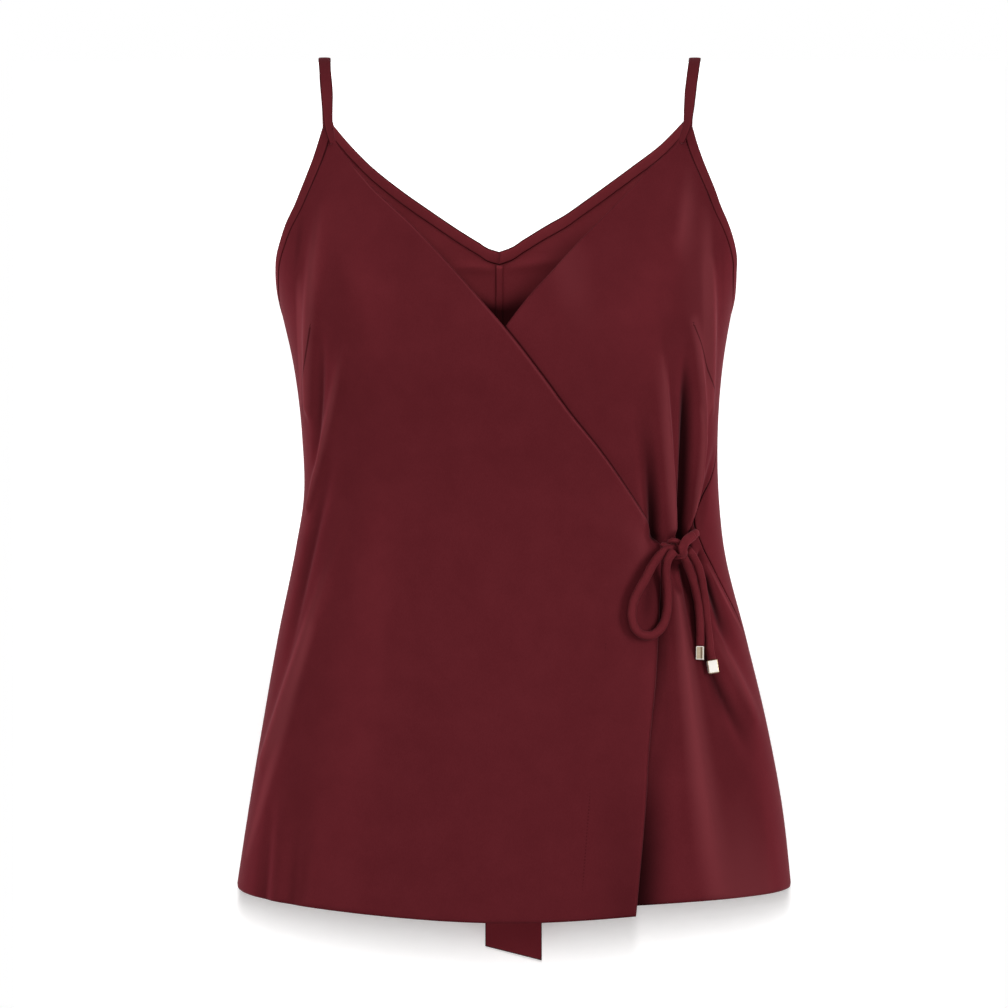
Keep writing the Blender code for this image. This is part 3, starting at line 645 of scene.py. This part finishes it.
def angle_at(x, drop, face="front"):
    """The angle at which a section reaches this distance across, on the front or the back."""
    x, drop = np.broadcast_arrays(np.asarray(x, float), np.asarray(drop, float))
    half = np.where(x < 0, section("right", drop), section("left", drop))
    depth = section(face, drop) * (1 if face == "front" else -1)
    ahead = depth * np.clip(1 - np.abs(x / half)**SQUARENESS, 0, 1)**(1 / SQUARENESS)
    return np.degrees(np.arctan2(x, ahead))


def fold_path(fold, face, steps=12):
    """Points along a fold on the plain body, and how far along each one lies."""
    t = np.linspace(0, 1, steps)
    across, down = fold["x1"] - fold["x0"], fold["drop1"] - fold["drop0"]
    length = math.hypot(across, down)
    bow = fold["bow"] * 4 * t * (1 - t)
    x = fold["x0"] + across * t + bow * down / length
    drop = fold["drop0"] + down * t - bow * across / length
    return body(angle_at(x, drop, face), drop), t


def beside(points, path, along, reach):
    """Which points lie near a path, how far off, how far along it and on which side of it."""
    near = np.all((points > path.min(0) - reach) & (points < path.max(0) + reach), axis=-1)
    spots = points[near]
    nearest, where, side = np.full(len(spots), 1e9), np.zeros(len(spots)), np.zeros(len(spots))
    for a, b, t0, t1 in zip(path[:-1], path[1:], along[:-1], along[1:]):
        run = b - a
        share = np.clip(((spots - a) @ run) / (run @ run), 0, 1)
        off = spots - a - share[:, None] * run
        distance = np.linalg.norm(off, axis=-1)
        closer = distance < nearest
        nearest = np.where(closer, distance, nearest)
        where = np.where(closer, t0 + share * (t1 - t0), where)
        side = np.where(closer, (np.cross(run, off)[:, :2] * spots[:, :2]).sum(1), side)
    return near, nearest, where, side


def folds_at(points, table=FOLDS):
    """How far the folds lift the cloth at these points of the plain body."""
    lift = np.zeros(points.shape[:-1])
    for face, row in [(face, row) for face in table for row in table[face]]:
        fold = dict(zip(FOLD_COLUMNS, row))
        widest = max(fold["wide0"], fold["wide1"]) * max(1, fold["lean"])
        near, nearest, where, side = beside(points, *fold_path(fold, face), 3.2 * widest)
        wide = fold["wide0"] + (fold["wide1"] - fold["wide0"]) * where
        wide = wide * np.where(side > 0, fold["lean"], 1)
        first, middle, last = fold["high0"], fold["high_mid"], fold["high1"]
        high = (first * (1 - where) * (1 - 2 * where) + 4 * middle * where * (1 - where)
                + last * where * (2 * where - 1))
        lift[near] += high * np.exp(-(nearest / wide)**2)
    return lift


def closeness(points, *rows, signed=False):
    """1 on a line down the front through some places across and down, falling to 0 a short way
    off it; and if asked for, the distance to it with a sign for its side."""
    rows = np.array(rows, float)
    top, bottom = rows[0, 1], rows[-1, 1]
    drop = np.linspace(top, bottom, max(4, round((bottom - top) / LINE_STEP)))
    path = body(angle_at(smooth(rows[:, ::-1], drop), drop), drop)
    near, nearest, _, side = beside(points, path, np.linspace(0, 1, len(path)), LINE_REACH)
    close = np.zeros(points.shape[:-1])
    close[near] = np.clip(1 - nearest / LINE_REACH, 0, 1)
    if not signed:
        return close
    off = np.full(close.shape, LINE_REACH)
    off[near] = nearest * np.sign(side)
    return close, off


def edge_close(*distances_to):
    """Closeness to the nearest of some edges, from the distances to them."""
    return np.clip(1 - np.minimum.reduce(np.broadcast_arrays(*distances_to)) / LINE_REACH, 0, 1)


def shaded(plain, painted_shade_beside_edge=0.0):
    """Lift of the folds, less the shade under the cords and beside the edge of a piece on top, for
    the finish to paint as highlight and shade.
    """
    centres = np.concatenate([line[::3] for line in cord_lines.values()])
    near = np.min([np.linalg.norm(plain - spot, axis=-1) for spot in centres], axis=0)
    painted_shade_under_cords = CORD_SHADE * np.clip((CORD_SHADE_END - near) / CORD_SHADE_SOFT, 0, 1)**2
    return folds_at(plain) + folds_at(plain, PAINTED_TONES) - np.maximum(painted_shade_under_cords, painted_shade_beside_edge)


def cloth(angle, drop, out=0.0):
    """Points of the cloth, folds and all, moved out by a distance."""
    plain = body(angle, drop)
    return plain + outward(angle, drop) * (folds_at(plain) + out)[..., None]


def rows_of(*plan):
    """The drops of a panel's rows, from one drop to the next, about so many millimetres apart."""
    drops = [np.linspace(top, bottom, max(2, round((bottom - top) / step)), endpoint=False)
             for top, bottom, step in plan]
    return np.concatenate(drops + [[plan[-1][1]]])


def hem_drop(drop, angle, lowest):
    """Let the rows below the waist sag towards the hem's own curve."""
    sag = (lowest - HEM_SIDE) * np.abs(np.cos(np.radians(angle)))**1.2
    return drop + sag * ramp(CORNER_DROP, HEM_SIDE, drop)


def side_edge(drop, armhole, seam, side):
    """The armhole down to the underarm, and the side seam below it."""
    return np.where(drop < UNDERARM_DROP, side * smooth(armhole, drop), smooth(seam, drop))


def seam_gap(drop):
    """Half the gap at a side seam, as an angle."""
    return np.degrees(0.5 * SEAM / section("front", drop))


def shares(count, *close):
    """Even shares from 0 to 1, with a few closer ones at both ends for the turned edges."""
    even = np.linspace(0, 1, count)
    extra = np.array(close)
    return np.unique(np.concatenate((even, extra, 1 - extra)).round(6))


def distances(points, axis, back=False):
    """How far each point lies from the first or last row or column, along the cloth."""
    steps = np.linalg.norm(np.diff(points, axis=axis), axis=-1)
    if back:
        steps = np.flip(steps, axis)
    run = np.concatenate((np.zeros_like(np.take(steps, [0], axis)), np.cumsum(steps, axis)), axis)
    return np.flip(run, axis) if back else run


def turned(points, out, first, last, hem=(0.6, 2.2)):
    """Roll the edges of the first and last columns and the hem inwards, as cloth that is turned
    or sewn there, each by a depth over a reach."""
    for (depth, reach), axis, back in ((first, 1, False), (last, 1, True), (hem, 0, True)):
        share = np.clip(1 - distances(points, axis, back) / reach, 0, 1)
        points = points - out * (depth * share**2)[..., None]
    return points


def bound_edge(drop, distance):
    """Distance to the side seam, or above the underarm to the inner edge of the binding."""
    return np.where(drop < UNDERARM_DROP - 3, np.abs(distance - BINDING_WIDTH - 0.5), distance)


def walled(made, wall):
    """Give a sheet its wall, half to each side."""
    thickness = made.modifiers.new("Wall", "SOLIDIFY")
    thickness.thickness, thickness.offset = wall * MM, 0
    return thickness


def panel(name, points, node, finish, slot, flip=False, wall=CLOTH_WALL, reverse=None, **lines):
    """A sewn panel: the grid of its points with a thin wall, standing for its CAD node."""
    made = sewn(name, laid(points, flip=flip, **lines), finish)
    thickness = walled(made, wall)
    if reverse:
        made.data.materials.append(reverse.owner)
        thickness.material_offset = 1
    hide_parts(node)
    return made


crepe = crepe_finish("front_crepe", (0.097, 0.0122, 0.0167), (0.116, 0.0156, 0.0209))
# The reverse, seen inside, is the shinier satin side, its colour painted lighter to stand for the
# light that reaches the inside; a painted shade darkens it behind the fronts.
satin_reverse_painted_lighter = crepe_finish("satin_reverse_painted_lighter", (0.196, 0.0265, 0.0345), (0.228, 0.0330, 0.0420),
                             roughness=0.4, shine=0.2, painted_tone_attribute="inside")

# The right front, from its side seam across to the corner. A painted light line follows its neck
# edge, and beside its edges a painted shade lies on the front below, wider towards the hem.
EDGE_LIGHT, EDGE_LIGHT_IN, EDGE_LIGHT_WIDTH = 2.6, 1.4, 0.8
EDGE_SHADE, HEM_SHADE, HEM_SHADE_WIDTH = 3.4, 4.2, 23
drop = rows_of((56, 184, 2.0), (184, 364, 2.0), (364, 619, 2.2))
outer = side_edge(drop, FRONT_ARMHOLES[-1], RIGHT_SIDE_SEAM, -1) + seam_gap(drop)
edge = np.where(drop < CORNER_DROP, smooth(NECK_EDGE, drop), smooth(FREE_EDGE, drop))
inner = angle_at(edge, drop)
across = shares(126, 0.002, 0.004, 0.006)
angle = outer[:, None] + (inner - outer)[:, None] * across
fall = hem_drop(drop[:, None], angle, HEM_OVER)
points = cloth(angle, fall, LAP * ramp(-62, -40, angle))
out = outward(angle, fall)
to_edge = distances(points, 1, back=True)
points = turned(points, out, (0.9, 1.6), (0.9, 2.6))
plain = body(angle, fall)
seam = edge_close(bound_edge(fall, distances(points, 1)))
dart, dart_off = closeness(plain, (-144.3, 204), (-148, 232), (-153.5, 265), (-156, 290),
                           signed=True)
stitches = closeness(plain, (70, 434), (62, 512), (56, 572), (52, 632))
edge_light = (EDGE_LIGHT * np.exp(-((to_edge - EDGE_LIGHT_IN) / EDGE_LIGHT_WIDTH)**2)
              * ramp(72, 96, fall) * ramp(352, 340, fall))
front_over = panel("front_over_panel", points, "front_over", crepe, "crepe",
                   reverse=satin_reverse_painted_lighter, seam=seam, stitches=stitches, dart=dart,
                   dart_off=dart_off, fold=shaded(plain) + edge_light)

# The left front, underneath: coarse where it is hidden, its shown columns along the folds. Its
# side seam shows a little less below the tie.
UNDER_COLUMNS, SEAM_FAINT = 124, 0.05
drop = rows_of((56, 184, 2.2), (184, 285, 2.2), (285, 364, 1.5), (364, 440, 1.8), (440, 619, 2.3))
outer = side_edge(drop, FRONT_ARMHOLES[1], LEFT_SIDE_SEAM, 1) - seam_gap(drop)
inner = angle_at(smooth(UNDER_EDGE, drop), drop)
guides = [angle_at(smooth(GATHER, drop, k + 1), drop) for k in range(len(GATHER_STATIONS))]
guides = np.stack([inner] + guides + [outer], axis=1)
stations = (0, *GATHER_STATIONS, UNDER_COLUMNS)
columns = np.append(np.arange(UNDER_COLUMNS), UNDER_COLUMNS - np.array((0.5, 0.25, 0)))
guided = np.stack([np.interp(columns, stations, row) for row in guides])
even = inner[:, None] + (outer - inner)[:, None] * columns / UNDER_COLUMNS
angle = even + ramp(150, 250, drop)[:, None] * (guided - even)
fall = hem_drop(drop[:, None], angle, HEM_UNDER)
points = cloth(angle, fall)
out = outward(angle, fall)
points = turned(points, out, (0.8, 2.6), (0.9, 1.8))
plain = body(angle, fall)
fainter = SEAM_FAINT * ramp(372, 384, fall) * ramp(450, 435, fall)
seam = edge_close(bound_edge(fall, distances(points, 1, back=True))) - fainter
dart, dart_off = closeness(plain, (136, 203), (141.5, 217), (145.5, 234), (152, 256), signed=True)
# Painted shadows on this front: a fine line under the right front's neck edge, and a shade beside
# its free edge that widens towards the hem.
lap, lap_off = closeness(plain, *[(x, down) for down, x in NECK_EDGE if down > 140], signed=True)
shadow = closeness(plain, *[(x, down) for down, x in FREE_EDGE])
off_edge = points[..., 0] - smooth(FREE_EDGE, fall)
hem_shade = HEM_SHADE * ramp(450, 600, fall) * np.exp(-(off_edge / HEM_SHADE_WIDTH)**2)
front_under = panel("front_under_panel", points, "front_under", crepe, "crepe",
                    reverse=satin_reverse_painted_lighter, seam=seam, shadow=shadow, dart=dart,
                    dart_off=dart_off, lap=lap, lap_off=lap_off,
                    fold=shaded(plain, np.maximum(EDGE_SHADE * shadow**1.2, hem_shade)))


# ---- The back ----------------------------------------------------------------------------
# Two crepe panels joined by a centre-back seam, whose turnings are pressed open inside and
# overlocked; the side seams join them to the fronts.
BACK_NECK_DROP, CENTRE_BACK_X = 140.2, -7.5
BACK_NECKS = {
    -1: ((46, -134.0), (62.7, -119.2), (77.7, -103.6), (93.3, -83.5), (111.6, -56.8),
         (125.9, -35.1), (133.6, -22.3), (138.7, -13.3), (BACK_NECK_DROP, CENTRE_BACK_X)),
    1: ((44, 132.3), (62, 113.7), (75.7, 94.9), (89.3, 75.9), (102.8, 56.8), (113.1, 41.7),
        (120.1, 29), (131, 11), (138.7, -2.5), (BACK_NECK_DROP, CENTRE_BACK_X)),
}


def back_edge(drop, side):
    """Distance across of the back neck edge, and below it of the centre-back seam."""
    neck = smooth(BACK_NECKS[side], drop)
    return np.where(drop < BACK_NECK_DROP, neck, CENTRE_BACK_X) + side * 0.5 * SEAM


# A painted shade darkens the inside of the back behind the fronts: the depths of the shade and how
# wide it is beside each neck edge, and its depth down in the wrap. Seen from the front, the neck
# edges stand nearer than the back, by this share of its distance.
LEFT_NECK_SHADE, LEFT_SHADE_WIDTH = 3.4, 22
RIGHT_NECK_SHADE, RIGHT_SHADE_WIDTH = 2.8, 8
WRAP_SHADE, NEARER = 5.6, 0.96


def inside_shade(points):
    """How dark the painted shade is inside the back, by the fronts' neck edges and down the wrap.
    """
    x, drop = points[..., 0], -points[..., 2]
    before = EYE_DROP - (EYE_DROP - drop) * NEARER
    from_left = np.maximum(smooth(UNDER_EDGE, before) / NEARER - x, 0)
    from_right = np.maximum(x - smooth(NECK_EDGE, before) / NEARER, 0)
    beside_edges = (LEFT_NECK_SHADE * np.exp(-(from_left / LEFT_SHADE_WIDTH)**2)
                    + RIGHT_NECK_SHADE * np.exp(-(from_right / RIGHT_SHADE_WIDTH)**2))
    return -beside_edges * ramp(90, 150, drop) - WRAP_SHADE * ramp(166, 202, drop)


for name, side, side_seam in (("back_right", -1, RIGHT_SIDE_SEAM),
                              ("back_left", 1, LEFT_SIDE_SEAM)):
    drop = rows_of((44, BACK_NECK_DROP, 2.2), (BACK_NECK_DROP, 285, 2.6), (285, 440, 2.2),
                   (440, 619, 2.8))
    inner = angle_at(back_edge(drop, side), drop, "back") % (side * 360)
    outer = side_edge(drop, BACK_ARMHOLE, side_seam, side) + side * seam_gap(drop)
    angle = outer[:, None] + (inner - outer)[:, None] * shares(84, 0.004, 0.008)
    fall = hem_drop(drop[:, None], angle, HEM_BACK)
    points = cloth(angle, fall)
    out = outward(angle, fall)
    points = turned(points, out, (0.5, 1.8), (0.45, 1.6))
    seam = edge_close(bound_edge(fall, distances(points, 1)), distances(points, 1, back=True))
    panel(name + "_panel", points, name, crepe, "crepe", flip=side < 0,
                            reverse=satin_reverse_painted_lighter, seam=seam, inside=inside_shade(points))

# Its pressed turnings, seen through the neck.
TURNING_WIDTH, TURNING_WALL, TURNING_LIFT = 2.7, 0.5, 0.55
drop = rows_of((150.4, 600, 3.0))
share = np.linspace(-1, 1, 7)
fall = np.broadcast_to(drop[:, None], (len(drop), len(share)))
x = np.broadcast_to(CENTRE_BACK_X + TURNING_WIDTH * share, fall.shape)
crown = 0.5 * np.cos(share * math.pi / 2)
points = cloth(angle_at(x, fall, "back"), fall, -(CLOTH_WALL / 2 + TURNING_LIFT) - crown)
turnings = sewn("centre_back_turnings",
                laid(points, flip=True, seam=edge_close(distances(points, 1)),
                     inside=inside_shade(points)), satin_reverse_painted_lighter)
walled(turnings, TURNING_WALL)


# ---- Neck facing, armhole bindings and straps --------------------------------------------
# A narrow facing is turned to the inside of the back neck and topstitched. Folded strips bind
# the armholes, and the same strip goes on over the shoulder as a flat strap.
BAND_WIDTH, BAND_WALL = 9.8, 0.7
BINDING_WALL = 1.7
STRAP_WIDTH, STRAP_WALL = 8.9, 1.6
trim_crepe = crepe_finish("trim_crepe", (0.104, 0.0134, 0.0180), (0.126, 0.0178, 0.0232),
                          1700.0, 0.5)

for name, side in (("right", -1), ("left", 1)):
    drop = rows_of((44, BACK_NECK_DROP, 1.6))
    x = back_edge(drop, side)
    fall = drop[:, None] + BAND_WIDTH * np.linspace(0, 1, 9)
    angle = angle_at(np.broadcast_to(x[:, None], fall.shape), fall, "back")
    crown = 0.35 * np.sin(np.linspace(0, 1, 9) * math.pi)**0.6
    points = cloth(angle, fall, -(CLOTH_WALL / 2 + BAND_WALL / 2 + 0.3) - crown)
    seam = edge_close(distances(points, 1, back=True), distances(points, 1) + 0.2)
    panel("neck_facing_" + name, points, "neck_band_" + name, satin_reverse_painted_lighter, "trim",
          flip=side > 0, wall=BAND_WALL, seam=seam)


# The outline of a folded strip, flat with rounded edges, for a width and a thickness of 1.
turn = np.linspace(0, 2 * math.pi, 33)
tape = np.stack((np.sign(np.cos(turn)) * np.abs(np.cos(turn))**0.62,
                 np.sign(np.sin(turn)) * np.abs(np.sin(turn))**0.8), axis=1) * 0.5


def strip(name, centres, across, up, width, wall, seam_out):
    """A folded strip along a line of centres, with a seam line just outside each long edge."""
    outline = tape * (1, wall)
    points = (centres[:, None] + (across * width[:, None])[:, None] * outline[:, :1]
              + up[:, None] * outline[:, 1:])
    seam = edge_close((0.5 - abs(tape[:, 0])) * width.max() + seam_out)
    shape = laid(points, closed=True, seam=np.broadcast_to(seam, points.shape[:2]))
    return sewn(name, shape, trim_crepe)


STRAP_ROUTES = {
    -1: ((-129.9, -68.6, -68.5), (-131.7, -66.8, -61.5), (-133.2, -62.6, -54.5),
         (-134.2, -57.0, -44), (-134.9, -47.5, -28.5), (-136.9, -31, -11.5), (-138, -15, -1.9),
         (-138.2, 0, -0.2), (-138.6, 17, -3.6), (-138.8, 33, -15.5), (-138.5, 44.5, -31),
         (-138.3, 52.6, -48.5), (-138.0, 56.5, -60)),
    1: ((126.6, -70.4, -68), (128.9, -68.2, -61.5), (131.6, -63.4, -53.5), (132.9, -57.3, -43.5),
        (134.4, -47.8, -29), (136.9, -32, -12), (138.8, -15, -2), (139.4, 0, -0.2),
        (139.4, 17, -3.6), (138.2, 33, -15.5), (136.6, 44.5, -31), (136.2, 52.6, -48.5),
        (136.4, 56.5, -60)),
}
for name, side in (("right", -1), ("left", 1)):
    front, rear = rows_of((55.5, 184, 3.0)), rows_of((46, 184, 3.0))[-2::-1]
    drop = np.concatenate((front, rear))
    behind = np.arange(len(drop)) >= len(front)
    angle = side * np.where(behind, smooth(BACK_ARMHOLE, drop), smooth(FRONT_ARMHOLES[side], drop))
    edge, up = cloth(angle, drop), outward(angle, drop)
    inward = unit(side * np.cross(unit(np.gradient(edge, axis=0)), up))
    width = BINDING_WIDTH * (1 - 0.45 * ramp(75, 44, drop) * behind)
    bound = strip("binding_strip_" + name, edge + inward * (width[:, None] / 2 + 0.25), inward, up,
                  width, BINDING_WALL, 0.15)
    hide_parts("binding_" + name)

    # The strap leans outwards as it comes down, and narrows where it is caught at the peaks.
    centres = curve_through(STRAP_ROUTES[side], 2.5)
    y, drop = centres[:, 1], -centres[:, 2]
    ahead = unit(np.gradient(centres, axis=0))
    lean = np.radians(np.interp(y, (-68, -56, -20, 20, 52), (-34, -20, -3, 4, 32))) * side
    across = np.stack((np.cos(lean), np.sin(lean), np.zeros(len(lean))), axis=1)
    across = unit(across - ahead * np.sum(across * ahead, axis=1, keepdims=True))
    slim = np.where(y < 0, np.interp(drop, (30, 41, 50, 60, 68), (1, 0.92, 0.8, 0.8, 0.6)),
                    np.interp(drop, (15, 35), (1, 0.84)))
    strap = strip("shoulder_strap_" + name, centres, across, np.cross(across, ahead),
                  STRAP_WIDTH * slim, STRAP_WALL, 0.3)
    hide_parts("strap_" + name)


# ---- The sash ----------------------------------------------------------------------------
# One flat tail of doubled crepe, sewn into the centre-back seam at the waist, its end slanted.
SASH_CENTRE_X, SASH_WIDTH, SASH_TOP_DROP = 3.6, 43.5, 322
SASH_SHORT_DROP, SASH_LONG_DROP = 676, 687
SASH_LIFT, SASH_FLARE, SASH_WALL = 1.6, 1.2, 1.1
share = np.linspace(0, 1, 150)[:, None]
across = shares(22, 0.01, 0.02)[None, :] - 0.5
x = SASH_CENTRE_X + SASH_WIDTH * across
end = SASH_SHORT_DROP + (SASH_LONG_DROP - SASH_SHORT_DROP) * (across + 0.5)
drop = SASH_TOP_DROP + (end - SASH_TOP_DROP) * share
angle = angle_at(np.broadcast_to(x, drop.shape), drop, "back")
points = cloth(angle, drop, SASH_LIFT + SASH_FLARE * ramp(SASH_TOP_DROP, HEM_SIDE, drop))
# The sash's crepe is painted lighter than the body's, to make up for the shade it hangs in below
# the hem.
sash_crepe_painted_lighter = crepe_finish("sash_crepe_painted_lighter", (0.142, 0.0170, 0.0235), (0.166, 0.0215, 0.0285))
border = edge_close(distances(points, 1), distances(points, 1, back=True),
                    distances(points, 0, back=True)) * ramp(0.2, 0.9, share)
sash = panel("sash_tail", points, "sash", sash_crepe_painted_lighter, "crepe", flip=True, wall=SASH_WALL,
             seam=border)
